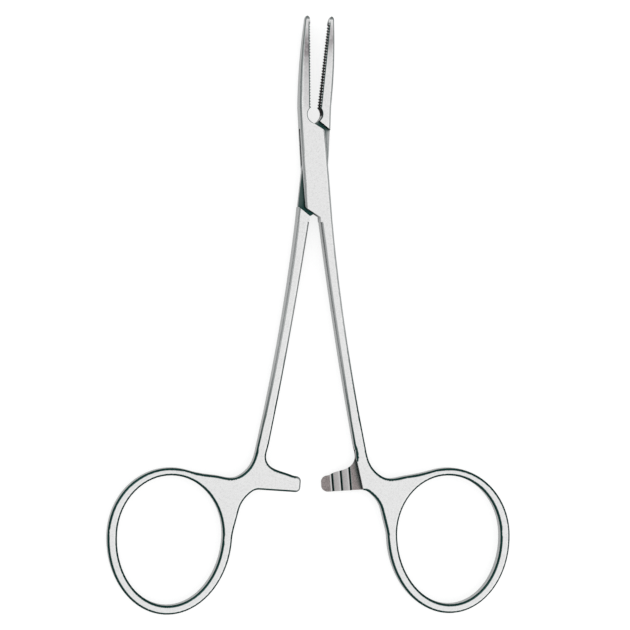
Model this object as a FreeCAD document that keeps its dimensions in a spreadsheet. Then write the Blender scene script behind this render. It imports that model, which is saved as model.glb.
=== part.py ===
# Hemostat forceps with a box lock: a box half, a tongue half and a pivot pin.
# Millimetres. +Y runs from the finger rings to the jaw tips, +Z towards the viewer.
# The origin is on the pivot axis, on the flat back of the box lock.
# Both halves are drawn with the jaws shut, and each is then turned to its place at rest.
import FreeCAD, Part
import math
import os

import Sketcher
from FreeCAD import Placement, Rotation, Vector

NODES = ["box_half", "tongue_half", "pivot_pin"]

# Driving dimensions: alias, value, what it is
DIMS = [
    ("box_thick", 4.5, "thickness of the box lock, front to back"),
    ("tongue_thick", 1.5, "thickness of the tongue inside the box"),
    ("tongue_play", 0.05, "play between the tongue and each box plate"),
    ("lock_width", 5.4, "width of the lock at the pivot"),
    ("lock_foot_back", 2.5, "back edge of the lock at its foot, from the middle"),
    ("lock_head_side", 2.15, "shank-side edge of the lock at its head"),
    ("lock_foot", 11.2, "pivot to the foot of the lock, where the plain shank begins"),
    ("lock_round", 0.65, "rounding of the long edges of the lock"),
    ("lock_slant", 35.0, "slope of the lock's shoulders, degrees"),
    ("lock_reach", 8.0, "pivot to the lower slanted edge of the lock"),
    ("lock_gap", 0.45, "gap at the lock's shoulders with the jaws shut"),
    ("slot_gap", 0.35, "gap at the ends of the slot with the jaws shut"),
    ("pin_radius", 1.0, "radius of the pivot pin"),
    ("pin_play", 0.04, "radial play of the pin in the tongue"),
    ("rest_opening", 7.2, "angle between the halves at rest, degrees"),
    ("jaw_tip", 32.05, "pivot to the jaw tips, along the instrument"),
    ("jaw_heel", 12.95, "pivot to the heel of the jaws"),
    ("jaw_heel_offset", -0.24, "sideways place of the jaw line at the heel"),
    ("jaw_lean", 2.45, "lean of the jaw line, degrees"),
    ("jaw_width_heel", 2.35, "width of one jaw at its heel"),
    ("jaw_width_tip", 1.12, "width of one jaw where its tip rounds off"),
    ("jaw_bulge", 0.3, "bow of the outer flank of a jaw"),
    ("jaw_round", 1.2, "length of the rounded tip"),
    ("jaw_thick_mid", 3.5, "thickness of a jaw at its middle"),
    ("jaw_thick_low", 2.7, "thickness of a jaw where its tip begins"),
    ("jaw_back_round", 0.4, "rounding of a jaw's back at its tip"),
    ("jaw_tip_length", 3.0, "length of the part that thins to the tip"),
    ("heel_gap", 0.36, "gap between the shut jaws at the heel"),
    ("tip_gap", 0.08, "gap between the shut jaws at the tip"),
    ("tooth_pitch", 0.6, "pitch of the serrations"),
    ("tooth_depth", 0.28, "depth of the serrations"),
    ("tooth_flat", 0.1, "flat crest left between two serrations"),
    ("crotch_radius", 1.85, "radius of the relief behind the jaws"),
    ("crotch_shift", 0.95, "centre of that radius beyond the jaw line"),
    ("crotch_place", 11.35, "pivot to the middle of the relief"),
    ("shank_width_top", 2.55, "width of a shank below the box"),
    ("shank_width_low", 2.42, "width of a shank above its ratchet arm"),
    ("shank_inner_top", 0.5, "inner edge of a shank at the foot of the lock"),
    ("shank_inner_low", 5.3, "inner edge of a shank above its arm"),
    ("shank_end", 58.0, "pivot to the end of the plain shank"),
    ("shank_outer_bow", 0.6, "bow of the outer edge of a shank"),
    ("shank_inner_bow", 0.3, "bow of the inner edge of a shank"),
    ("ring_thick", 3.0, "thickness of the rings and ratchet arms"),
    ("ring_out", 24.62, "sideways place of a ring's centre"),
    ("ring_below", 14.9, "upper edge of an arm's tip to the ring centre, box half"),
    ("ring_lower", 0.25, "how much lower the ring of the tongue half sits"),
    ("ring_open_width", 22.0, "width of the finger opening"),
    ("ring_open_height", 27.1, "height of the finger opening"),
    ("ring_rise", 1.0, "widest line of a ring above the middle of its opening"),
    ("ring_wall_side", 2.08, "wall of the ring at its sides"),
    ("ring_wall_top", 1.6, "wall of the ring at its top"),
    ("ring_wall_bottom", 1.95, "wall of the ring at its bottom"),
    ("ring_round", 0.6, "rounding of the edges of ring, arm and lower shank"),
    ("arm_below", 6.4, "end of the plain shank to the upper edge of an arm's tip"),
    ("arm_height", 3.36, "height of a ratchet arm at its tip"),
    ("arm_straight", 5.04, "near side of a ring to the straight lower edge of its arm"),
    ("arm_past_box", 1.7, "reach of the box half's arm past the middle"),
    ("arm_past_tongue", 2.0, "reach of the tongue half's arm past the middle"),
    ("arm_corner_box", 1.3, "corner radius at the tip of the box half's arm"),
    ("arm_corner_tongue", 1.0, "corner radius at the tip of the tongue half's arm"),
    ("ratchet_wall", 6.6, "sideways place of the end of the ratchet"),
    ("ratchet_wall_slant", 9.5, "slant of the end of the ratchet, degrees"),
    ("ratchet_tooth_slant", 2.0, "slant of the ratchet teeth, degrees"),
    ("ratchet_pitch", 1.88, "pitch of the ratchet teeth"),
    ("ratchet_tooth", 0.45, "height of the ratchet teeth"),
    ("ratchet_lean", 0.35, "lean of the steep side of a ratchet tooth"),
    ("ratchet_play", 0.06, "play between the two ratchets"),
    ("ratchet_first", 0.8, "place of the first ratchet tooth"),
]
RATCHET_TEETH = 3
SHANK_SECTIONS = 5

# How far cuts run past the metal
CUT_PAST = 1.0
FOOT_PAST = 0.3
GROOVE_PAST = 0.05
LOCK_CLEAR = 8.0
RATCHET_BELOW = 1.5
RATCHET_ABOVE = 5.0
THROUGH = "dims.box_thick + %g" % (2 * CUT_PAST)

# The shank keeps its thickness at first and thins faster lower down
SHANK_THINNING = 0.8

# Sections of the rounded tip as shares of its length, and how thin its very end is
TIP_SHARES = (0, 0.45, 0.75, 0.93, 0.99)
TIP_THIN = 0.4

# Share of the rounded tip that the gripping face reaches into
FACE_REACH = 0.75

# Place of the first serration behind the heel, in pitches
FIRST_GROOVE = 0.6

# Where the web and the ratchet arm leave a ring, turned from its top towards the shank
WEB_TURN = 0.2
SIDE_TURN = math.pi / 2

# Points of the free edges, above the upper edge of the arm's tip
# and sideways from the shank's own edge
WEB_POINTS = [(1.03, 1.8), (2.73, -0.3), (4.38, -1.2), (7.58, -1.05)]
ARMPIT_POINTS = [(-4.7, 0.35), (-1.85, 1.1), (-0.35, 1.95), (0.3, 3.0)]

# The same below the lower edge of the arm, sideways from the near side of the ring
UNDER_POINTS = [(-0.69, -6.1), (-1.34, -3.3), (-3.14, -0.8)]

doc = FreeCAD.newDocument("hemostat")
sheet = doc.addObject("Spreadsheet::Sheet", "dims")
for row, (alias, value, note) in enumerate(DIMS, start=1):
    sheet.set("A%d" % row, note)
    sheet.set("B%d" % row, str(value))
    sheet.setAlias("B%d" % row, alias)
doc.recompute()


def size(alias):
    return float(getattr(sheet, alias))


def radians(alias):
    return math.radians(size(alias))


def new_body(name):
    body = doc.addObject("PartDesign::Body", name)
    body.Label = name
    return body


def new_sketch(body, name, role, offset=Placement()):
    """An empty sketch on one of the body's own origin planes."""
    sketch = body.newObject("Sketcher::SketchObject", name)
    support = [item for item in body.Origin.OriginFeatures if item.Role == role][0]
    sketch.AttachmentSupport = [(support, "")]
    sketch.MapMode = "FlatFace"
    sketch.AttachmentOffset = offset
    return sketch


def draw(sketch, curves):
    """Adds the curves of one closed outline, each joined to the next."""
    for curve in curves:
        sketch.addGeometry(curve, False)


def polygon(points):
    corners = [Vector(x, y, 0) for x, y in points]
    return [Part.LineSegment(a, b) for a, b in zip(corners, corners[1:] + corners[:1])]


def spline(points, start_tangent, end_tangent):
    curve = Part.BSplineCurve()
    curve.interpolate(Points=points, InitialTangent=start_tangent, FinalTangent=end_tangent)
    return curve


def arc_by_bow(start, end, bow):
    """An arc from start to end whose middle stands off the chord by bow, to the left of travel."""
    chord = end - start
    left = Vector(-chord.y, chord.x, 0).normalize()
    return Part.Arc(start, (start + end) * 0.5 + left * bow, end)


def tangent_at(curve, end):
    parameter = curve.LastParameter if end else curve.FirstParameter
    return curve.tangent(parameter)[0]


def over_the_top():
    """Where a cut through the whole thickness starts."""
    return Placement(Vector(0, 0, size("box_thick") + CUT_PAST), Rotation())


def pad(body, name, sketch, length):
    feature = body.newObject("PartDesign::Pad", name)
    feature.Profile = sketch
    feature.setExpression("Length", length)
    doc.recompute()
    return feature


def pocket(body, name, sketch, length, reverse=False):
    """Cuts towards the back of the sketch, or its front if reversed, and proves that it cut."""
    before = body.Shape.Volume
    feature = body.newObject("PartDesign::Pocket", name)
    feature.Profile = sketch
    feature.Reversed = reverse
    feature.setExpression("Length", length)
    doc.recompute()
    if not body.Shape.Volume < before - 1e-4:
        raise RuntimeError(name + " cut nothing")
    return feature


# Shared geometry, drawn with the jaws shut

SLANT = radians("lock_slant")
LEAN = radians("jaw_lean")
ALONG_JAW = Vector(math.sin(LEAN), math.cos(LEAN), 0)
ACROSS_JAW = Vector(math.cos(LEAN), -math.sin(LEAN), 0)
HEEL = Vector(size("jaw_heel_offset"), size("jaw_heel"), 0)
JAW_LENGTH = (size("jaw_tip") - size("jaw_heel")) / math.cos(LEAN)


def jaw_point(side, across, along):
    """A point of one jaw: across from the jaw line, and along it from the heel."""
    return HEEL + ALONG_JAW * along - ACROSS_JAW * (side * across)


def crotch_centre(side):
    along = (size("crotch_place") - size("jaw_heel")) / math.cos(LEAN)
    return jaw_point(side, -size("crotch_shift"), along)


def jaw_face(side):
    """The two ends of a jaw's gripping face."""
    centre = crotch_centre(side)
    across = size("crotch_shift") + size("heel_gap") / 2
    half_chord = math.sqrt(size("crotch_radius") ** 2 - across ** 2)
    heel = centre - ACROSS_JAW * (side * across) + ALONG_JAW * half_chord
    tip = jaw_point(side, size("tip_gap") / 2, JAW_LENGTH - size("jaw_round") * FACE_REACH)
    return heel, tip


def slant_normal(side):
    """Square to the slanted edges of a half, pointing up and towards its shank's side."""
    return Vector(side * math.sin(SLANT), math.cos(SLANT), 0)


def upper_reach(side):
    """Pivot to the upper slanted edge, which runs off the relief at a tangent."""
    return crotch_centre(side).dot(slant_normal(side)) - size("crotch_radius")


def on_slant(side, reach, x):
    """The point of a slanted line at a given sideways place."""
    normal = slant_normal(side)
    return Vector(x, (reach - normal.x * x) / normal.y, 0)


def arm_top():
    """Pivot to the upper edge of a ratchet arm at its tip."""
    return size("shank_end") + size("arm_below")


def ring_centre(side):
    drop = arm_top() + size("ring_below")
    if side < 0:
        drop += size("ring_lower")
    return Vector(side * size("ring_out"), -drop, 0)


def ring_widest(side):
    """The middle of a ring's widest line, above the middle of its opening."""
    return ring_centre(side) + Vector(0, size("ring_rise"), 0)


def ring_outer():
    """Half width of a ring's outline, and its reach above and below its widest line."""
    half_width = size("ring_open_width") / 2 + size("ring_wall_side")
    above = size("ring_open_height") / 2 - size("ring_rise") + size("ring_wall_top")
    below = size("ring_open_height") / 2 + size("ring_rise") + size("ring_wall_bottom")
    return half_width, above, below


def web_end(side):
    """Where the web runs into the ring, and the way the ring's outline runs there."""
    half_width, above, below = ring_outer()
    across, up = math.sin(WEB_TURN), math.cos(WEB_TURN)
    point = ring_widest(side) + Vector(-side * half_width * across, above * up, 0)
    way = Vector(-side * half_width * up, -above * across, 0)
    return point, way.normalize()


def oval_arc(centre, half_width, height, start, end):
    """The part of an upright or lying ellipse between two turns, from its top towards -X."""
    top = centre + Vector(0, height, 0)
    if height >= half_width:
        ellipse = Part.Ellipse(top, centre - Vector(half_width, 0, 0), centre)
        return Part.ArcOfEllipse(ellipse, start, end)
    ellipse = Part.Ellipse(centre + Vector(half_width, 0, 0), top, centre)
    return Part.ArcOfEllipse(ellipse, start + SIDE_TURN, end + SIDE_TURN)


def ring_outline(side):
    """The free part of a ring's outline, from the web over the far side to the arm."""
    half_width, above, below = ring_outer()
    widest = ring_widest(side)
    lower = oval_arc(widest, half_width, below, SIDE_TURN, 3 * SIDE_TURN)
    if side > 0:
        return [lower, oval_arc(widest, half_width, above, -SIDE_TURN, WEB_TURN)]
    return [oval_arc(widest, half_width, above, -WEB_TURN, SIDE_TURN), lower]


def finger_opening(side):
    """The outline of a finger opening: two half ovals that share their widest line."""
    widest, half_width = ring_widest(side), size("ring_open_width") / 2
    above = size("ring_open_height") / 2 - size("ring_rise")
    below = size("ring_open_height") / 2 + size("ring_rise")
    return [oval_arc(widest, half_width, above, -SIDE_TURN, SIDE_TURN),
            oval_arc(widest, half_width, below, SIDE_TURN, 3 * SIDE_TURN)]


def shank_edges(side):
    """The inner and the outer edge of a shank, both from the foot of the lock down."""
    foot = -size("lock_foot")
    low = -size("shank_end")
    inner = size("shank_inner_top")
    inner_low = size("shank_inner_low")
    outer = inner + size("shank_width_top")
    outer_low = inner_low + size("shank_width_low")
    inner_edge = arc_by_bow(Vector(side * inner, foot, 0), Vector(side * inner_low, low, 0),
                            -side * size("shank_inner_bow"))
    outer_edge = arc_by_bow(Vector(side * outer, foot, 0), Vector(side * outer_low, low, 0),
                            -side * size("shank_outer_bow"))
    return inner_edge, outer_edge


def handle_outline(side):
    """The plan of the flat lower part: web, ring and ratchet arm below the plain shank."""
    def at(x, y):
        return Vector(side * x, y, 0)

    def along(points, edge, height):
        return [at(edge + x, height + y) for x, y in points]

    inner_edge, outer_edge = shank_edges(side)
    inner_end = inner_edge.value(inner_edge.LastParameter)
    outer_end = outer_edge.value(outer_edge.LastParameter)
    top = -arm_top()
    low = top - size("arm_height")
    web_low, web_way = web_end(side)
    web = spline([outer_end] + along(WEB_POINTS, outer_end.x * side, top) + [web_low],
                 tangent_at(outer_edge, True), web_way * -1)
    near_side = size("ring_out") - ring_outer()[0]
    ring_side = at(near_side, ring_widest(side).y)
    straight = at(near_side - size("arm_straight"), low)
    under = spline([ring_side] + along(UNDER_POINTS, near_side, low) + [straight],
                   Vector(0, 1, 0), at(-1, 0))

    which = "box" if side > 0 else "tongue"
    tip = -size("arm_past_" + which)
    corner = size("arm_corner_" + which)
    bend = corner * (1 - math.sqrt(0.5))
    arm_under = Part.LineSegment(straight, at(tip + corner, low))
    corner_low = Part.Arc(at(tip + corner, low), at(tip + bend, low + bend), at(tip, low + corner))
    arm_end = Part.LineSegment(at(tip, low + corner), at(tip, top - corner))
    corner_top = Part.Arc(at(tip, top - corner), at(tip + bend, top - bend), at(tip + corner, top))
    armpit = spline([at(tip + corner, top)] + along(ARMPIT_POINTS, inner_end.x * side, top)
                    + [inner_end], at(1, 0), tangent_at(inner_edge, True) * -1)
    neck = Part.LineSegment(inner_end, outer_end)
    return [neck, web] + ring_outline(side) + [under, arm_under, corner_low, arm_end, corner_top, armpit]


def section(body, name, y, left, right, thick, left_round, right_round):
    """A cross section square to the length: a rectangle with rounded or sharp sides."""
    sketch = new_sketch(body, name, "XZ_Plane", Placement(Vector(0, 0, -y), Rotation()))
    middle = size("box_thick") / 2
    bottom, top = middle - thick / 2, middle + thick / 2
    corners = [(left, bottom, left_round, 1, 1), (right, bottom, right_round, -1, 1),
               (right, top, right_round, -1, -1), (left, top, left_round, 1, -1)]
    ends = []
    for index, (x, z, radius, inward, upward) in enumerate(corners):
        along_x = Vector(x + inward * radius, z, 0)
        along_z = Vector(x, z + upward * radius, 0)
        bend = radius * (1 - math.sqrt(0.5))
        middle_point = Vector(x + inward * bend, z + upward * bend, 0)
        before, after = (along_z, along_x) if index in (0, 2) else (along_x, along_z)
        ends.append((before, middle_point, after, radius))
    curves = []
    for index, (before, middle_point, after, radius) in enumerate(ends):
        if radius > 0:
            curves.append(Part.Arc(before, middle_point, after))
        curves.append(Part.LineSegment(after, ends[(index + 1) % 4][0]))
    draw(sketch, curves)
    return sketch


def loft(body, name, first, others):
    feature = body.newObject("PartDesign::AdditiveLoft", name)
    feature.Profile = first
    feature.Sections = others
    doc.recompute()
    return feature


def point_at_height(edge, y):
    """Where the arc of a shank's edge crosses a given height."""
    wide = size("ring_out")
    line = Part.LineSegment(Vector(-wide, y, 0), Vector(wide, y, 0))
    return edge.toShape().distToShape(line.toShape())[1][0][0].x


def between(low, high, share):
    return low + (high - low) * share


def add_shank(body, name, side):
    """The plain shank, thinner and flatter towards its ring."""
    inner_edge, outer_edge = shank_edges(side)
    foot, low = -size("lock_foot"), -size("shank_end")
    sections = []
    for number in range(SHANK_SECTIONS - 1):
        share = number / (SHANK_SECTIONS - 1)
        y = between(foot, low, share)
        inner, outer = point_at_height(inner_edge, y), point_at_height(outer_edge, y)
        left, right = min(inner, outer), max(inner, outer)
        thick = between(size("box_thick"), size("ring_thick"), share ** SHANK_THINNING)
        round_off = between(size("lock_round"), size("ring_round"), share)
        sections.append(section(body, "%s_shank_%d" % (name, number), y, left, right, thick,
                                round_off, round_off))
    rounded = body.Tip
    for number, face in enumerate(rounded.Shape.Faces, start=1):
        if abs(face.BoundBox.YMin - low) < 1e-4 and abs(face.BoundBox.YMax - low) < 1e-4:
            neck = "Face%d" % number
    loft(body, name + "_shank", (rounded, [neck]), sections[::-1])


def add_lock(body, name, side):
    """The block of the lock, from the heel of the jaws to the foot, before it is cut."""
    head, foot = size("jaw_heel"), -size("lock_foot")
    back_head = jaw_point(side, jaw_gap(0) + jaw_width(0), 0).x * side
    half = size("lock_width") / 2
    outer_foot = size("shank_inner_top") + size("shank_width_top")
    stations = [(head, back_head, size("lock_head_side")), (0, -half, half),
                (foot, -size("lock_foot_back"), outer_foot)]
    sections = []
    for number, (y, back, front) in enumerate(stations):
        left, right = sorted((side * back, side * front))
        sections.append(section(body, "%s_lock_%d" % (name, number), y, left, right,
                                size("box_thick"), size("lock_round"), size("lock_round")))
    loft(body, name + "_lock", sections[0], sections[1:])


def jaw_width(share):
    """Width of a jaw between its heel and the start of its rounded tip."""
    straight = between(size("jaw_width_heel"), size("jaw_width_tip"), share)
    return straight + 4 * size("jaw_bulge") * share * (1 - share)


def jaw_gap(share):
    """Half of the gap between the shut jaws."""
    return between(size("heel_gap"), size("tip_gap"), share) / 2


def jaw_thick(share):
    """Thickness of a jaw: a curve through its heel, middle and low end."""
    heel, middle, low = size("box_thick"), size("jaw_thick_mid"), size("jaw_thick_low")
    low_share = 1 - size("jaw_tip_length") / JAW_LENGTH
    first = (middle - heel) / 0.5
    second = ((low - middle) / (low_share - 0.5) - first) / low_share
    return heel + first * share + second * share * (share - 0.5)


def jaw_section(body, name, side, along, near, far, thick, round_off):
    """A section of a jaw between two distances from the jaw line."""
    y = HEEL.y + along * math.cos(LEAN)
    line = HEEL.x + (y - HEEL.y) * math.tan(LEAN)
    face, back = line - side * near, line - side * far
    rounds = (round_off, 0) if side > 0 else (0, round_off)
    return section(body, name, y, min(face, back), max(face, back), thick, *rounds)


def add_jaw(body, name, side):
    """The jaw, with a flat gripping face and a rounded back, and its rounded tip."""
    length = JAW_LENGTH - size("jaw_round")
    sections = []
    for number, share in enumerate((0, 0.2, 0.4, 0.6, 0.8, 1)):
        thick = jaw_thick(share)
        round_off = between(size("lock_round"), size("jaw_back_round"), share)
        near = jaw_gap(share)
        sections.append(jaw_section(body, "%s_jaw_%d" % (name, number), side, share * length,
                                    near, near + jaw_width(share), thick, round_off))
    loft(body, name + "_jaw", sections[0], sections[1:])
    centre = jaw_gap(1) + size("jaw_width_tip") / 2
    sections = []
    for number, part in enumerate(TIP_SHARES):
        keep = math.sqrt(1 - part ** 2)
        half = size("jaw_width_tip") / 2 * keep
        thick = jaw_thick(1) * between(TIP_THIN, 1, keep)
        sections.append(jaw_section(body, "%s_tip_%d" % (name, number), side,
                                    length + part * size("jaw_round"), centre - half, centre + half,
                                    thick, size("jaw_back_round") * keep))
    loft(body, name + "_tip", sections[0], sections[1:])


def cut_head(body, name, side):
    """The relief behind the jaws and the slanted edge that runs off it."""
    centre = crotch_centre(side)
    heel, tip = jaw_face(side)
    along = (tip - heel).normalize()
    past = heel + along * ((HEEL.y + CUT_PAST - heel.y) / along.y)
    low = centre - slant_normal(side) * size("crotch_radius")
    far = on_slant(side, upper_reach(side), side * LOCK_CLEAR)
    above = Vector(far.x, past.y, 0)
    plan = new_sketch(body, name + "_head_plan", "XY_Plane", over_the_top())
    draw(plan, [Part.Arc(heel, centre - ACROSS_JAW * (side * size("crotch_radius")), low),
                Part.LineSegment(low, far), Part.LineSegment(far, above),
                Part.LineSegment(above, past), Part.LineSegment(past, heel)])
    pocket(body, name + "_head", plan, THROUGH)


def cut_foot(body, name, side):
    """The slanted edge at the foot of the lock, beside the shank."""
    foot = -size("lock_foot")
    inner = side * size("shank_inner_top")
    corner = on_slant(side, -size("lock_reach"), inner)
    far = on_slant(side, -size("lock_reach"), -side * LOCK_CLEAR)
    plan = new_sketch(body, name + "_foot_plan", "XY_Plane", over_the_top())
    draw(plan, polygon([(corner.x, corner.y), (inner, foot),
                        (inner - side * FOOT_PAST, foot - FOOT_PAST),
                        (far.x, foot - FOOT_PAST), (far.x, far.y)]))
    pocket(body, name + "_foot_cut", plan, THROUGH)


def is_outline_edge(shape, edge, low):
    """True for the edges between the flat faces and the walls, apart from the neck's."""
    middle = edge.valueAt((edge.FirstParameter + edge.LastParameter) / 2)
    if abs(middle.y - low) < 1e-3:
        return False
    slopes = []
    for face in shape.ancestorsOfType(edge, Part.Face):
        slopes.append(abs(face.normalAt(*face.Surface.parameter(middle)).z))
    return len(slopes) == 2 and min(slopes) < 0.1 and max(slopes) > 0.9


def add_handle(body, name, side):
    """The flat lower part of a half, with its edges rounded over."""
    bottom = (size("box_thick") - size("ring_thick")) / 2
    plan = new_sketch(body, name + "_plan", "XY_Plane")
    plan.setExpression("AttachmentOffset.Base.z", "(dims.box_thick - dims.ring_thick) / 2")
    plan.AttachmentOffset = Placement(Vector(0, 0, bottom), Rotation())
    draw(plan, handle_outline(side))
    draw(plan, finger_opening(side))
    blank = pad(body, name + "_handle", plan, "dims.ring_thick")
    names = []
    for number, edge in enumerate(blank.Shape.Edges, start=1):
        if is_outline_edge(blank.Shape, edge, -size("shank_end")):
            names.append("Edge%d" % number)
    rounding = body.newObject("PartDesign::Fillet", name + "_rounding")
    rounding.Base = (blank, names)
    rounding.setExpression("Radius", "dims.ring_round")
    doc.recompute()


def forge(name, side):
    """One half as it is forged and trimmed, before the fine work."""
    body = new_body(name)
    add_handle(body, name, side)
    add_shank(body, name, side)
    add_lock(body, name, side)
    cut_head(body, name, side)
    cut_foot(body, name, side)
    add_jaw(body, name, side)
    return body


def cut_serrations(body, name, side):
    """Cross grooves along the gripping face, one after the other."""
    heel, tip = jaw_face(side)
    along = tip - heel
    turn = math.degrees(math.atan2(along.y, along.x)) - 90
    depth = size("tooth_depth")
    half = (size("tooth_pitch") - size("tooth_flat")) / 2
    first = heel + along.normalize() * size("tooth_pitch") * FIRST_GROOVE
    spot = Placement(Vector(first.x, first.y, size("box_thick") + CUT_PAST),
                     Rotation(Vector(0, 0, 1), turn))
    groove = new_sketch(body, name + "_groove", "XY_Plane", spot)
    wider = half * (1 + GROOVE_PAST / depth)
    draw(groove, polygon([(side * GROOVE_PAST, -wider), (side * GROOVE_PAST, wider),
                          (-side * depth, 0)]))
    cut = pocket(body, name + "_serration", groove, THROUGH)
    count = int(((tip - heel).Length - size("tooth_pitch")) / size("tooth_pitch"))
    row = body.newObject("PartDesign::LinearPattern", name + "_serrations")
    row.Originals = [cut]
    row.Direction = (groove, ["V_Axis"])
    row.setExpression("Length", "dims.tooth_pitch * %d" % (count - 1))
    row.Occurrences = count
    body.Tip = row
    doc.recompute()


def band(side, low, high):
    """A wide strip between two slanted lines that are low and high from the pivot."""
    left, right = -LOCK_CLEAR, LOCK_CLEAR
    return polygon([(v.x, v.y) for v in (on_slant(side, low, left), on_slant(side, low, right),
                                         on_slant(side, high, right), on_slant(side, high, left))])


def circle_sketch(body, name, radius, offset=Placement()):
    """A circle about the pivot axis, whose radius follows the sheet."""
    sketch = new_sketch(body, name, "XY_Plane", offset)
    sketch.addGeometry(Part.Circle(Vector(0, 0, 0), Vector(0, 0, 1), size("pin_radius")), False)
    sketch.addConstraint(Sketcher.Constraint("Coincident", 0, 3, -1, 1))
    sketch.addConstraint(Sketcher.Constraint("Radius", 0, size("pin_radius")))
    sketch.setExpression("Constraints[1]", radius)
    return sketch


def ratchet_sketch(body, name, side, place, slant):
    """An upright sketch below a ratchet arm, for a cut that runs up through place at a slant."""
    below = size("arm_height") / 2 + RATCHET_BELOW
    start = Vector(side * (place + below * math.tan(slant)), 0,
                   arm_top() + size("arm_height") / 2 + below)
    turn = Rotation(Vector(0, 1, 0), side * math.degrees(slant))
    return new_sketch(body, name, "XZ_Plane", Placement(start, turn))


def cut_ratchet(body, name, side, way):
    """The thinned pad of a ratchet arm and its teeth: way is 1 on the front, -1 on the back."""
    middle = size("box_thick") / 2
    crest = middle - way * size("ratchet_play")
    valley = crest - way * size("ratchet_tooth")
    outside = middle + way * (size("box_thick") / 2 + CUT_PAST)
    wall, first, pitch = size("ratchet_wall"), size("ratchet_first"), size("ratchet_pitch")
    last = first + (RATCHET_TEETH - 1) * pitch
    far = -size("arm_past_tongue") - RATCHET_BELOW
    length = "dims.arm_height + %g" % (RATCHET_BELOW + RATCHET_ABOVE)

    floor_start = between(last, wall, 1 / 3)
    pad_points = [(wall, outside), (wall, valley), (floor_start, valley), (floor_start, crest),
                  (far, crest), (far, outside)]
    pad_sketch = ratchet_sketch(body, name + "_pad", side, wall, radians("ratchet_wall_slant"))
    draw(pad_sketch, polygon([(side * (x - wall), z) for x, z in pad_points]))
    pocket(body, name + "_pad_cut", pad_sketch, length)

    floor_end = between(last, wall, 2 / 3)
    teeth_points = [(floor_end, outside), (floor_end, valley)]
    for number in reversed(range(RATCHET_TEETH)):
        root = first + number * pitch
        teeth_points += [(root, valley), (root - size("ratchet_lean"), crest)]
    teeth_points += [(first - pitch, valley), (far, valley), (far, outside)]
    teeth_sketch = ratchet_sketch(body, name + "_teeth", side, first, radians("ratchet_tooth_slant"))
    draw(teeth_sketch, polygon([(side * (x - first), z) for x, z in teeth_points]))
    pocket(body, name + "_teeth_cut", teeth_sketch, length)


def build_box_half():
    body = forge("box_half", 1)
    cut_serrations(body, "box_half", 1)
    half_slot = size("tongue_thick") / 2 + size("tongue_play")
    slot_top = Placement(Vector(0, 0, size("box_thick") / 2 + half_slot), Rotation())
    slot = new_sketch(body, "slot_plan", "XY_Plane", slot_top)
    low = -size("lock_reach") - size("slot_gap")
    high = upper_reach(-1) + size("slot_gap")
    draw(slot, band(-1, low, high))
    pocket(body, "slot", slot, "dims.tongue_thick + 2 * dims.tongue_play")
    hole = circle_sketch(body, "plate_hole_plan", "dims.pin_radius", over_the_top())
    pocket(body, "plate_holes", hole, THROUGH)
    cut_ratchet(body, "box_half", 1, 1)
    return body


def build_tongue_half():
    body = forge("tongue_half", -1)
    cut_serrations(body, "tongue_half", -1)
    low = -size("lock_reach") - size("lock_gap")
    high = upper_reach(1) + size("lock_gap")
    for top, label in ((True, "front"), (False, "back")):
        height = size("box_thick") + CUT_PAST if top else -CUT_PAST
        cheek = new_sketch(body, "cheek_" + label, "XY_Plane",
                           Placement(Vector(0, 0, height), Rotation()))
        draw(cheek, band(1, low, high))
        pocket(body, "cheek_cut_" + label, cheek,
               "(dims.box_thick - dims.tongue_thick) / 2 + %g" % CUT_PAST, reverse=not top)
    hole = circle_sketch(body, "tongue_hole_plan", "dims.pin_radius + dims.pin_play", over_the_top())
    pocket(body, "tongue_hole", hole, THROUGH)
    cut_ratchet(body, "tongue_half", -1, -1)
    return body


def build_pivot_pin():
    body = new_body("pivot_pin")
    plan = circle_sketch(body, "pin_plan", "dims.pin_radius")
    pad(body, "pin_shaft", plan, "dims.box_thick")
    return body


bodies = {"box_half": build_box_half(), "tongue_half": build_tongue_half(),
          "pivot_pin": build_pivot_pin()}

# Each half is turned by half of the opening at rest
bodies["box_half"].Placement = Placement(Vector(), Rotation(Vector(0, 0, 1), 1))
bodies["tongue_half"].Placement = Placement(Vector(), Rotation(Vector(0, 0, -1), 1))
for name in ("box_half", "tongue_half"):
    bodies[name].setExpression("Placement.Rotation.Angle", "dims.rest_opening / 2")
doc.recompute()

for item in doc.Objects:
    if "Invalid" in item.State or "Error" in item.State:
        raise RuntimeError("%s failed: %s" % (item.Name, item.State))
os.makedirs("parts", exist_ok=True)
for name in NODES:
    shape = bodies[name].Shape
    if shape.isNull() or not shape.isValid() or len(shape.Solids) != 1:
        raise RuntimeError(name + " is not one valid solid")
for name in NODES:
    bodies[name].Shape.exportStep("parts/%s.step" % name)
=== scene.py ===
import math

import bpy
from mathutils import Matrix, Vector


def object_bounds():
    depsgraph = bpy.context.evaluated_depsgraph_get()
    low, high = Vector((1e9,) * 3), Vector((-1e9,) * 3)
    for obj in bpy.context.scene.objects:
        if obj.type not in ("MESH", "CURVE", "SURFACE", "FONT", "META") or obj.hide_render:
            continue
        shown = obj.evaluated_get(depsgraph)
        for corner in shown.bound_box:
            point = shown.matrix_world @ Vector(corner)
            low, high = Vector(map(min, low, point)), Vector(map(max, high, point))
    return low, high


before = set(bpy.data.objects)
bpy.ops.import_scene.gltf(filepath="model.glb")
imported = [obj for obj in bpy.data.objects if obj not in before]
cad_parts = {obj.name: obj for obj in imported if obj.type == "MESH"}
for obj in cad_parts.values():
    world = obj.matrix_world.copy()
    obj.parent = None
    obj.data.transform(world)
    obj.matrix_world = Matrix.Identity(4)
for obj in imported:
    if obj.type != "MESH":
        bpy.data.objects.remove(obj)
cad_low, cad_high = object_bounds()

# The two halves: each is one forging of stainless steel, from jaw tip to finger ring.
# They are ground and tumbled to a satin finish, so the broad faces are even and pale.
# Their rounded edges, walls and recesses carry dark greenish painted shade and painted
# reflections.


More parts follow.
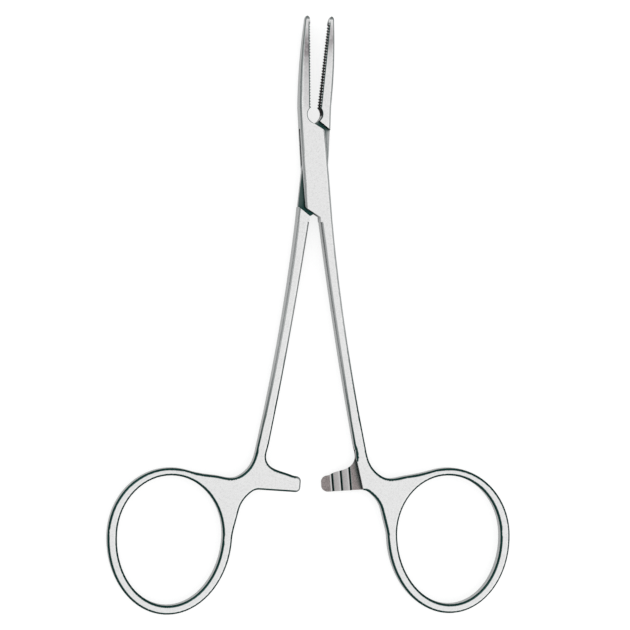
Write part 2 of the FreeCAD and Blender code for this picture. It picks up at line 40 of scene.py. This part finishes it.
def add(owner, kind, **inputs):
    """A node of a material or of the world, with the values of its plain sockets."""
    node = owner.node_tree.nodes.new(kind)
    for name, value in inputs.items():
        node.inputs[name.replace("_", " ")].default_value = value
    return node


def join(owner, source, target):
    owner.node_tree.links.new(source, target)


def calc(owner, operation, *terms):
    """One step of arithmetic on sockets and plain numbers."""
    step = add(owner, "ShaderNodeMath")
    step.operation = operation
    for term, socket in zip(terms, step.inputs):
        if isinstance(term, (int, float)):
            socket.default_value = term
        else:
            join(owner, term, socket)
    return step.outputs["Value"]


def all_of(owner, *shares):
    """The product of several shares."""
    product = shares[0]
    for share in shares[1:]:
        product = calc(owner, "MULTIPLY", product, share)
    return product


def axes_of(owner, vector):
    """The three parts of a vector."""
    parts = add(owner, "ShaderNodeSeparateXYZ")
    join(owner, vector, parts.inputs["Vector"])
    return parts.outputs["X"], parts.outputs["Y"], parts.outputs["Z"]


def reach(owner, vector, direction, start=(0, 0, 0)):
    """How far a point lies from start, measured along a direction."""
    measure = add(owner, "ShaderNodeVectorMath")
    measure.operation = "DOT_PRODUCT"
    join(owner, vector, measure.inputs[0])
    measure.inputs[1].default_value = direction
    offset = Vector(direction).dot(Vector(start))
    return calc(owner, "SUBTRACT", measure.outputs["Value"], offset)


def away(owner, place, middle):
    """Distance from an upright line through middle."""
    flat = add(owner, "ShaderNodeVectorMath")
    flat.operation = "MULTIPLY"
    join(owner, place, flat.inputs[0])
    flat.inputs[1].default_value = (1, 1, 0)
    measure = add(owner, "ShaderNodeVectorMath")
    measure.operation = "DISTANCE"
    join(owner, flat.outputs["Vector"], measure.inputs[0])
    measure.inputs[1].default_value = (*middle, 0)
    return measure.outputs["Value"]


def ramp_of(owner, source, stops):
    """A colour ramp over source, with stops of (place, colour)."""
    ramp = add(owner, "ShaderNodeValToRGB")
    points = ramp.color_ramp.elements
    while len(points) < len(stops):
        points.new(1.0)
    for point, (place, colour) in zip(points, stops):
        point.position = place
        point.color = (*colour, 1)
    join(owner, source, ramp.inputs["Fac"])
    return ramp.outputs["Color"]


def spread(owner, source, low, high, into_low=0.0, into_high=1.0, kind="SMOOTHSTEP"):
    """Source from low to high, spread over a new range and held at its ends."""
    node = add(owner, "ShaderNodeMapRange", From_Min=low, From_Max=high,
               To_Min=into_low, To_Max=into_high)
    node.interpolation_type = kind
    join(owner, source, node.inputs["Value"])
    return node.outputs["Result"]


def profile(owner, source, stops):
    """A share that runs through stops of (place, share) along source."""
    first, last = stops[0][0], stops[-1][0]
    along = spread(owner, source, first, last, kind="LINEAR")
    return ramp_of(owner, along, [((place - first) / (last - first), (share, share, share))
                                  for place, share in stops])


def blend(owner, share, first, second):
    """Mixes two colours, either a socket or a plain colour each."""
    mix = add(owner, "ShaderNodeMix")
    mix.data_type = "RGBA"
    join(owner, share, mix.inputs["Factor"])
    for colour, socket in ((first, mix.inputs[6]), (second, mix.inputs[7])):
        if isinstance(colour, tuple):
            socket.default_value = (*colour, 1)
        else:
            join(owner, colour, socket)
    return mix.outputs[2]


def noise(owner, place, spots, detail, roughness=0.7):
    """Random spots, so many of them in a metre."""
    spotted = add(owner, "ShaderNodeTexNoise", Scale=spots, Detail=detail, Roughness=roughness)
    join(owner, place, spotted.inputs["Vector"])
    return spotted.outputs["Fac"]


def mottled(owner, source, tone, shade, low, high):
    """A tone that falls to a share of itself where source is low."""
    return ramp_of(owner, source, [(low, tuple(shade * part for part in tone)), (high, tone)])


# The ground lines, by how many come in a metre across and along, with their depth and the
# roughness of their ridges and grooves, and the soft mottle of the tumbling
GRAIN_LINES = (14000, 900, 14000)
GRAIN_DEPTH = 0.00001
GRAIN_STRENGTH = 0.2
GRAIN_NOISE = (0.3, 0.7)
GRAIN_ROUGHNESS = (0.22, 0.36)
MOTTLE_SPOTS = 2600.0
MOTTLE_SHADE = 0.88
MOTTLE_NOISE = (0.34, 0.52)
FACE_TONE = (0.755, 0.755, 0.755)


def satin(material, place, seed):
    """The ground and tumbled surface of a new material, with its lines shifted by seed.

    Gives the colour, which the rest of the finish is laid over.
    """
    shader = material.node_tree.nodes["Principled BSDF"]
    shader.inputs["Metallic"].default_value = 1.0
    stretch = add(material, "ShaderNodeMapping", Scale=GRAIN_LINES, Location=(seed, 0, seed))
    join(material, place, stretch.inputs["Vector"])
    grain = noise(material, stretch.outputs["Vector"], spots=1.0, detail=3.0, roughness=0.6)
    join(material, spread(material, grain, *GRAIN_NOISE, *GRAIN_ROUGHNESS),
         shader.inputs["Roughness"])
    bump = add(material, "ShaderNodeBump", Strength=GRAIN_STRENGTH, Distance=GRAIN_DEPTH)
    join(material, grain, bump.inputs["Height"])
    join(material, bump.outputs["Normal"], shader.inputs["Normal"])
    mottle = noise(material, place, MOTTLE_SPOTS, detail=5.0)
    return mottled(material, mottle, FACE_TONE, MOTTLE_SHADE, *MOTTLE_NOISE)


def facing_of(material):
    """Which way a surface looks, in the frame of its own piece."""
    facing = add(material, "ShaderNodeVectorTransform")
    facing.vector_type = "NORMAL"
    facing.convert_from = "WORLD"
    facing.convert_to = "OBJECT"
    join(material, add(material, "ShaderNodeNewGeometry").outputs["Normal"],
         facing.inputs["Vector"])
    return facing.outputs["Vector"]


def tilt_of(material, facing):
    """How far a surface tilts from the broad faces: 0 on them, and 1 on an upright wall."""
    level = reach(material, facing, (0, 0, 1))
    return calc(material, "SQRT",
                calc(material, "SUBTRACT", 1.0, all_of(material, level, level)))


# The painted dark reflection along a jaw's gripping edge: how far in from that edge it is
# full and where it ends, and its spots, the thinnest of which keep this share of it
JAW_REFLECTION_TONE = (0.18, 0.155, 0.165)
JAW_REFLECTION_FULL, JAW_REFLECTION_END = 0.0011, 0.0019
JAW_REFLECTION_SPOTS = 900.0
JAW_REFLECTION_NOISE = (0.3, 0.6)
JAW_REFLECTION_THINNEST = 0.6

# The rounded edges carry painted reflections: their pale tone, the tone of painted shade
# where they are dark (used for all painted shade below), and the tilt at which they begin and
# are full
EDGE_REFLECTION_TONE = (0.42, 0.43, 0.43)
PAINTED_SHADE_TONE = (0.012, 0.045, 0.04)
EDGE_TILT = (0.24, 0.36)

# Which way those edges look that carry painted shade over their whole width, facing away from
# the light
SHADED_SIDE = (-0.8, 0.6, 0)
SHADED_SIDE_SHIFT = 0.25

# How dark the painted shade on the edges is along the forceps, and how much sooner it sets in
# on those that look away
EDGE_SHADE_ALONG = [(-0.054, 1.0), (-0.036, 0.12), (-0.008, 0.12), (0.009, 0.1), (0.013, 0.4),
                 (0.032, 0.5)]
EDGE_LAG = 0.009

# The tips of the arms, whose edges get less painted shade: their reach to either side of the
# middle, the height below which they lie, and the share of that painted shade that they lose
TIP_FULL, TIP_END = 0.0024, 0.0036
TIP_HEIGHT = (-0.058, -0.060)
TIP_PALENESS = 0.7

# The upright walls, painted with the grey of the floor they reflect: the tilt at which they
# begin and are full, and how much sooner they begin on the shaded side
WALL_REFLECTION_TONE = (0.42, 0.43, 0.43)
WALL_TILT = (0.965, 0.995)
WALL_SIDE_SHIFT = 0.12

# The serrations: their pitch, their depth, how far the first lies from the heel, and the
# parts of the jaw over which they set in and run out
TOOTH_PITCH = 0.0006
TOOTH_DEPTH = 0.00028
FIRST_TOOTH = 0.6 * TOOTH_PITCH
TEETH_START = (0.0126, 0.0128)
TEETH_END = (0.0312, 0.0300)

# Painted shade in their grooves shows as dark dots: the part of each wave that is shaded, how
# far in the dots reach, and the tilt at which the grooves' own walls are shaded. A painted dark
# line joins them, in stops of (distance from the gripping edge, share).
GROOVE_WAVE = (-0.2, 0.5)
GROOVE_REACH = (1.6 * TOOTH_DEPTH, 1.2 * TOOTH_DEPTH)
GROOVE_TILT = (0.5, 0.8)
GRIP_SHADE_LINE = [(0.0, 0.0), (0.00012, 0.3), (0.0002, 1.0), (0.00033, 0.9), (0.00043, 0.0)]

# The relief behind a jaw, with painted shade: its radius, how far past it the painted shade
# ends and is full, and the height at which it sets in
RELIEF_RADIUS = 0.00185
RELIEF_RIM = (RELIEF_RADIUS + 0.00016, RELIEF_RADIUS + 0.00008)
RELIEF_START = (0.0088, 0.0092)

# The recesses: how far around them the metal shades them, and how open to the sky a place
# is that is fully dark and one that isn't dark at all
RECESS_REACH = 0.0022
RECESS_RAYS = 12
RECESS_OPENNESS = (0.42, 0.80)

# The colour at which steel mirrors fully at a grazing angle, and what the darkest painted shade
# keeps
MIRROR_TONE = 0.6
MIRROR_LEAST = 0.02


class Half:
    """What the finish of one half needs to know of its shape, in the half's own frame.

    heel is where its gripping face starts, face_lean how far that face leans, inward the
    side that the jaw's metal lies on, relief_middle the middle of the relief behind the
    jaw, and the last one how strong the painted dark reflection on the jaw is, in stops of
    (place along the length, share).
    """

    def __init__(self, heel, face_lean, inward, relief_middle, jaw_reflection):
        self.heel = heel
        self.along = (math.sin(face_lean), math.cos(face_lean), 0)
        self.inward = (inward * math.cos(face_lean), -inward * math.sin(face_lean), 0)
        self.relief_middle = relief_middle
        self.jaw_reflection = jaw_reflection


BOX_HALF = Half(heel=(-0.00123, 0.01277, 0), face_lean=math.radians(-0.713), inward=-1,
                relief_middle=(-0.000071, 0.011327),
                jaw_reflection=[(0.0110, 0.0), (0.0135, 0.22), (0.019, 0.36), (0.0225, 0.55),
                        (0.0250, 1.0), (0.0268, 0.85), (0.0288, 0.4), (0.0315, 0.15)])
TONGUE_HALF = Half(heel=(0.000738, 0.012785, 0), face_lean=math.radians(5.613), inward=1,
                   relief_middle=(-0.00054, 0.011447),
                   jaw_reflection=[(0.0200, 0.0), (0.0240, 0.25), (0.0270, 0.75), (0.0295, 0.4),
                           (0.0310, 0.0)])


def steel_half(name, half, extra, seed):
    """The finish of one half. extra adds what only that half has."""
    material = bpy.data.materials.new(name)
    material.use_nodes = True
    place = add(material, "ShaderNodeTexCoord").outputs["Object"]
    colour = satin(material, place, seed)
    x, y, _ = axes_of(material, place)
    facing = facing_of(material)
    tilt = tilt_of(material, facing)
    towards = reach(material, facing, SHADED_SIDE)

    # the jaw: a painted dark reflection along its gripping edge
    into_jaw = reach(material, place, half.inward, half.heel)
    patch = noise(material, place, JAW_REFLECTION_SPOTS, detail=4.0)
    ragged = spread(material, patch, *JAW_REFLECTION_NOISE, JAW_REFLECTION_THINNEST, 1.0)
    jaw_reflection_share = all_of(material, profile(material, y, half.jaw_reflection), ragged,
                  spread(material, into_jaw, JAW_REFLECTION_END, JAW_REFLECTION_FULL))
    colour = blend(material, jaw_reflection_share, colour, JAW_REFLECTION_TONE)

    # the rounded edges: painted reflections, pale by the jaws and dark painted shade by the
    # rings, but for the arms' tips
    lagging = calc(material, "MULTIPLY_ADD", towards, EDGE_LAG, y)
    on_tip = all_of(material,
                    spread(material, calc(material, "ABSOLUTE", x), TIP_END, TIP_FULL),
                    spread(material, y, *TIP_HEIGHT))
    darkness = all_of(material, profile(material, lagging, EDGE_SHADE_ALONG),
                      calc(material, "MULTIPLY_ADD", on_tip, -TIP_PALENESS, 1.0))
    edge = blend(material, darkness, EDGE_REFLECTION_TONE, PAINTED_SHADE_TONE)
    shifted = calc(material, "MULTIPLY_ADD", towards, SHADED_SIDE_SHIFT, tilt)
    colour = blend(material, spread(material, shifted, *EDGE_TILT), colour, edge)

    # the upright walls: a painted reflection of the floor
    on_shaded_side = calc(material, "MAXIMUM", towards, 0.0)
    to_wall = calc(material, "MULTIPLY_ADD", on_shaded_side, WALL_SIDE_SHIFT, tilt)
    colour = blend(material, spread(material, to_wall, *WALL_TILT), colour, WALL_REFLECTION_TONE)

    # the serrations: painted shade in the grooves, which shows as dots on the gripping edge
    in_jaw = all_of(material, spread(material, y, *TEETH_START),
                    spread(material, y, *TEETH_END))
    from_first = calc(material, "SUBTRACT",
                      reach(material, place, half.along, half.heel), FIRST_TOOTH)
    turns = calc(material, "MULTIPLY", from_first, 2 * math.pi / TOOTH_PITCH)
    groove = spread(material, calc(material, "COSINE", turns), *GROOVE_WAVE)
    near_edge = spread(material, into_jaw, *GROOVE_REACH)
    steep = spread(material, tilt, *GROOVE_TILT)
    dots = calc(material, "MAXIMUM", all_of(material, groove, near_edge),
                all_of(material, steep, near_edge))
    toothed = calc(material, "MAXIMUM", profile(material, into_jaw, GRIP_SHADE_LINE), dots)
    colour = blend(material, all_of(material, in_jaw, toothed), colour, PAINTED_SHADE_TONE)

    # painted shade in the relief behind the jaws
    from_relief = away(material, place, half.relief_middle)
    relief = all_of(material, spread(material, from_relief, *RELIEF_RIM),
                    spread(material, y, *RELIEF_START))
    colour = blend(material, relief, colour, PAINTED_SHADE_TONE)
    colour = extra(material, colour, place)

    # the recesses: painted shade where the metal around them shades them
    hollow = add(material, "ShaderNodeAmbientOcclusion", Distance=RECESS_REACH)
    hollow.samples = RECESS_RAYS
    openness = spread(material, hollow.outputs["AO"], *RECESS_OPENNESS)
    colour = blend(material, openness, PAINTED_SHADE_TONE, colour)

    shader = material.node_tree.nodes["Principled BSDF"]
    join(material, colour, shader.inputs["Base Color"])
    # the grazing tint follows the colour, so painted shade mirrors little
    join(material, spread(material, colour, 0.0, MIRROR_TONE, MIRROR_LEAST, 1.0, kind="LINEAR"),
         shader.inputs["Specular Tint"])
    return material


# The ratchet pad: a step cut across the front of the box half's arm, with three slanted
# teeth. It is part of the forging; its darker brownish tone is painted shade of its cut slope.
PAD_SHADE_TONE = (0.31, 0.275, 0.27)
PAD_SHADE_SPOTS = 3400.0
PAD_SHADE_SPOT_SHARE = 0.6
PAD_SHADE_NOISE = (0.38, 0.56)
CREST_HIGHLIGHT_TONE = (0.58, 0.58, 0.58)

# Where the pad lies, and how soft its borders are
PAD_SPAN = (0.0015, 0.0114)
PAD_SPAN_FADE = 0.0002
PAD_DEPTH = (0.0015, 0.0024)
PAD_DEPTH_FADE = 0.0001
PAD_TOP = (-0.058, -0.0582)

# Its teeth: the root of the first one, their pitch, the lean of their lines, and the
# counts of pitches over which they set in and run out
FIRST_ROOT = (0.004948, -0.0659, 0)
ROOT_PITCH = 0.00188
ROOT_LEAN = math.radians(5.6)
ROOTS_START = (0.6, 0.7)
ROOTS_END = (3.2, 3.05)

# The painted highlight on the crest of a tooth and the painted shadow at its root, in stops
# of (share of the pitch, share of the tone)
CREST_HIGHLIGHT_STOPS = [(0.0, 0.2), (0.1, 0.45), (0.62, 0.65), (0.70, 1.0), (0.78, 1.0), (0.82, 0.0),
               (1.0, 0.0)]
ROOT_SHADOW_STOPS = [(0.0, 1.0), (0.05, 1.0), (0.12, 0.0), (0.80, 0.0), (0.83, 1.0), (1.0, 1.0)]


def within(owner, source, span, fade):
    """1 inside a span, fading out beyond both of its ends."""
    low, high = span
    return all_of(owner, spread(owner, source, low - fade, low),
                  spread(owner, source, high + fade, high))


def ratchet_pad(material, colour, place):
    """Lays the painted shade of the pad, and the painted highlights and shadows of its teeth,
    over a colour.
    """
    x, y, z = axes_of(material, place)
    pad = all_of(material, within(material, x, PAD_SPAN, PAD_SPAN_FADE),
                 within(material, z, PAD_DEPTH, PAD_DEPTH_FADE),
                 spread(material, y, *PAD_TOP))
    speckle = noise(material, place, PAD_SHADE_SPOTS, detail=3.0)
    pad_shade = mottled(material, speckle, PAD_SHADE_TONE, PAD_SHADE_SPOT_SHARE, *PAD_SHADE_NOISE)
    across_teeth = (math.cos(ROOT_LEAN), math.sin(ROOT_LEAN), 0)
    beyond = reach(material, place, across_teeth, FIRST_ROOT)
    step = calc(material, "DIVIDE", calc(material, "ADD", beyond, ROOT_PITCH), ROOT_PITCH)
    share = calc(material, "FRACT", step)
    toothed = all_of(material, spread(material, step, *ROOTS_START),
                     spread(material, step, *ROOTS_END))
    for stops, tone in ((CREST_HIGHLIGHT_STOPS, CREST_HIGHLIGHT_TONE), (ROOT_SHADOW_STOPS, PAINTED_SHADE_TONE)):
        shown = all_of(material, toothed, profile(material, share, stops))
        pad_shade = blend(material, shown, pad_shade, tone)
    return blend(material, pad, colour, pad_shade)


# The tongue: the thin part of the tongue half that runs through the slot of the box. It
# was ground flat before the halves were put together. The box's shade is painted on it as a
# darker tone.
LOCK_SHADE_TONE = (0.40, 0.41, 0.41)
LOCK_DEEP_SHADOW_TONE = (0.06, 0.09, 0.085)

# Where the tongue lies, and how soft the borders of its painted shade are
LOCK_ROOF = (0.0033, 0.0032)
LOCK_SPAN = (-0.0110, 0.0110)
LOCK_SPAN_FADE = 0.0002

# The painted shadow deeper in, behind the pivot: where it sets in, and the tilt at which it
# ends and is full
LOCK_DEEP_START = (-0.0005, -0.003)
LOCK_DEEP_TILT = (0.7, 0.3)


def shaded_tongue(material, colour, place):
    """Lays the painted shade of the tongue inside the box over a colour."""
    _, y, z = axes_of(material, place)
    tilt = tilt_of(material, facing_of(material))
    inside = all_of(material, spread(material, z, *LOCK_ROOF),
                    within(material, y, LOCK_SPAN, LOCK_SPAN_FADE))
    deep = all_of(material, inside, spread(material, y, *LOCK_DEEP_START),
                  spread(material, tilt, *LOCK_DEEP_TILT))
    colour = blend(material, inside, colour, LOCK_SHADE_TONE)
    return blend(material, deep, colour, LOCK_DEEP_SHADOW_TONE)


def dress(node, material):
    """Gives a CAD node its finish through its material slots."""
    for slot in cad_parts[node].material_slots:
        slot.material = material


dress("box_half", steel_half("steel_box_half", BOX_HALF, ratchet_pad, seed=0.0))
dress("tongue_half", steel_half("steel_tongue_half", TONGUE_HALF, shaded_tongue, seed=4.0))

# The pivot pin: a steel rod pressed through the box plates and ground flush with them.
# It is the same steel, so only a fine ring shows where it ends.
pin_steel = bpy.data.materials.new("steel_pin")
pin_steel.use_nodes = True
pin_place = add(pin_steel, "ShaderNodeTexCoord").outputs["Object"]
join(pin_steel, satin(pin_steel, pin_place, seed=8.0),
     pin_steel.node_tree.nodes["Principled BSDF"].inputs["Base Color"])
dress("pivot_pin", pin_steel)

# The floor: the plain white paper that the forceps lie on. It isn't part of the object.
# It glows for the camera and in the steel, so it shows white, and it still takes a shadow.
FLOOR_HALF = 3.0
FLOOR_DROP = 0.0002
FLOOR_TONE = (0.34, 0.34, 0.34)
FLOOR_ROUGHNESS = 0.9
FLOOR_GLOW = 0.77
floor_mesh = bpy.data.meshes.new("floor")
corners = [(side_x * FLOOR_HALF, side_y * FLOOR_HALF, 0)
           for side_x, side_y in ((-1, -1), (1, -1), (1, 1), (-1, 1))]
floor_mesh.from_pydata(corners, [], [(0, 1, 2, 3)])
floor = bpy.data.objects.new("floor", floor_mesh)
bpy.context.scene.collection.objects.link(floor)
floor.location.z = cad_low.z - FLOOR_DROP
paper = bpy.data.materials.new("white_paper")
paper.use_nodes = True
paper_inputs = paper.node_tree.nodes["Principled BSDF"].inputs
paper_inputs["Base Color"].default_value = (*FLOOR_TONE, 1)
paper_inputs["Roughness"].default_value = FLOOR_ROUGHNESS
paper_inputs["Specular IOR Level"].default_value = 0.0
paper_inputs["Emission Color"].default_value = (1, 1, 1, 1)
ray = add(paper, "ShaderNodeLightPath").outputs
seen = calc(paper, "MAXIMUM", ray["Is Camera Ray"],
            calc(paper, "MAXIMUM", ray["Is Glossy Ray"], ray["Is Transmission Ray"]))
join(paper, calc(paper, "MULTIPLY", seen, FLOOR_GLOW), paper_inputs["Emission Strength"])
floor_mesh.materials.append(paper)

# The light: a white tent that darkens towards the horizon and is brighter to the right,
# and one large soft lamp high on the left, which gives the shadow its side.
TENT_STOPS = [(0.05, (0.35, 0.36, 0.36)), (0.5, (1.0, 1.0, 1.0))]
BRIGHT_SIDE = (0.24, -0.18, 0)
world = bpy.data.worlds.new("light_tent")
bpy.context.scene.world = world
world.use_nodes = True
tent_inputs = world.node_tree.nodes["Background"].inputs
way = add(world, "ShaderNodeTexCoord").outputs["Generated"]
_, _, height = axes_of(world, way)
join(world, ramp_of(world, height, TENT_STOPS), tent_inputs["Color"])
brightness = calc(world, "ADD", reach(world, way, BRIGHT_SIDE), 1.0)
join(world, brightness, tent_inputs["Strength"])

LAMP_SIZE = 0.5
LAMP_POWER = 0.9
LAMP_PLACE = Vector((-0.35, 0.35, 0.7))
LAMP_AIM = Vector((0, -0.03, 0))
lamp_data = bpy.data.lights.new("soft_lamp", "AREA")
lamp_data.size = LAMP_SIZE
lamp_data.energy = LAMP_POWER
lamp = bpy.data.objects.new("soft_lamp", lamp_data)
bpy.context.scene.collection.objects.link(lamp)
lamp.location = LAMP_PLACE
lamp.rotation_mode = "QUATERNION"
lamp.rotation_quaternion = (LAMP_AIM - LAMP_PLACE).to_track_quat("-Z", "Y")

# The camera: 0.7 m above the forceps and a little to their left, where the photograph was
# taken from, so that the walls that face left show as thin lines. It rolls by under a degree.
VIEW_FAR = 0.7
VIEW_WIDTH = 0.132
VIEW_LEAN = math.radians(8.2)
VIEW_TILT = math.radians(1.0)
VIEW_ROLL = math.radians(0.785)
VIEW_AIM = Vector((0.000545, -0.03059, 0.00225))
VIEW_NEAREST, VIEW_FARTHEST = 0.05, 20
SENSOR_MM = 36
across = Vector((math.cos(VIEW_ROLL), math.sin(VIEW_ROLL), 0))
up_page = Vector((-math.sin(VIEW_ROLL), math.cos(VIEW_ROLL), 0))
upright = Vector((0, 0, 1))
forward = (across * math.sin(VIEW_LEAN) - up_page * math.sin(VIEW_TILT)
           - upright * math.cos(VIEW_LEAN))
forward.normalize()
right = forward.cross(up_page).normalized()
up = right.cross(forward)
stand = VIEW_AIM - forward * VIEW_FAR
camera_data = bpy.data.cameras.new("camera")
camera_data.sensor_width = SENSOR_MM
camera_data.lens = SENSOR_MM * VIEW_FAR / VIEW_WIDTH
camera_data.clip_start = VIEW_NEAREST
camera_data.clip_end = VIEW_FARTHEST
camera = bpy.data.objects.new("camera", camera_data)
bpy.context.scene.collection.objects.link(camera)
camera.matrix_world = Matrix((
    (right.x, up.x, -forward.x, stand.x),
    (right.y, up.y, -forward.y, stand.y),
    (right.z, up.z, -forward.z, stand.z),
    (0, 0, 0, 1)))
bpy.context.scene.camera = camera
bpy.context.scene.view_settings.view_transform = "Standard"
